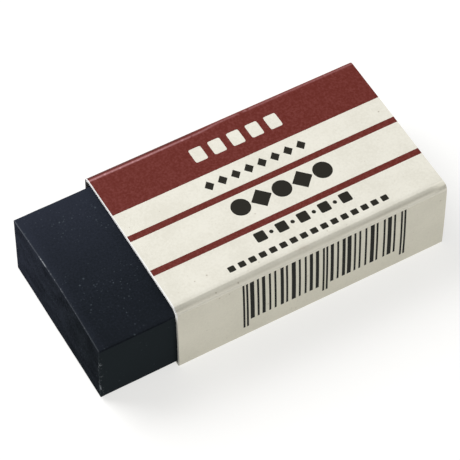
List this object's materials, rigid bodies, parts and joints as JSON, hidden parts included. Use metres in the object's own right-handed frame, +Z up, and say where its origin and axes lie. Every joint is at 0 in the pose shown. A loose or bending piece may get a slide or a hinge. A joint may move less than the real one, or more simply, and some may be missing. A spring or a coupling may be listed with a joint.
{
  "type": "eraser",
  "caption": "Rectangular block eraser with one bare end, in a sleeve folded from printed card that slides along the block; lies flat on the sleeve's bottom panel.",
  "frame": {"origin": "middle of the eraser's whole length and width, on the surface it lies on", "axes": "+X along the block from its bare end to its covered end, +Y from the front panel to the glued side, +Z up"},
  "size_m": [0.0534, 0.0256, 0.0127],
  "materials": {
    "eraser_compound": "matte, near-black, with fine pale dust",
    "printed_card": "cream card with a satin print face"
  },
  "bodies": {
    "block": {"eraser_block": "eraser_compound"},
    "sleeve": {"card_sleeve": "printed_card"}
  },
  "joints": [
    {"name": "sleeve_slide", "type": "slide", "parent": "block", "child": "sleeve", "axis": [1, 0, 0], "range_m": [-0.054, 0.043]}
  ]
}
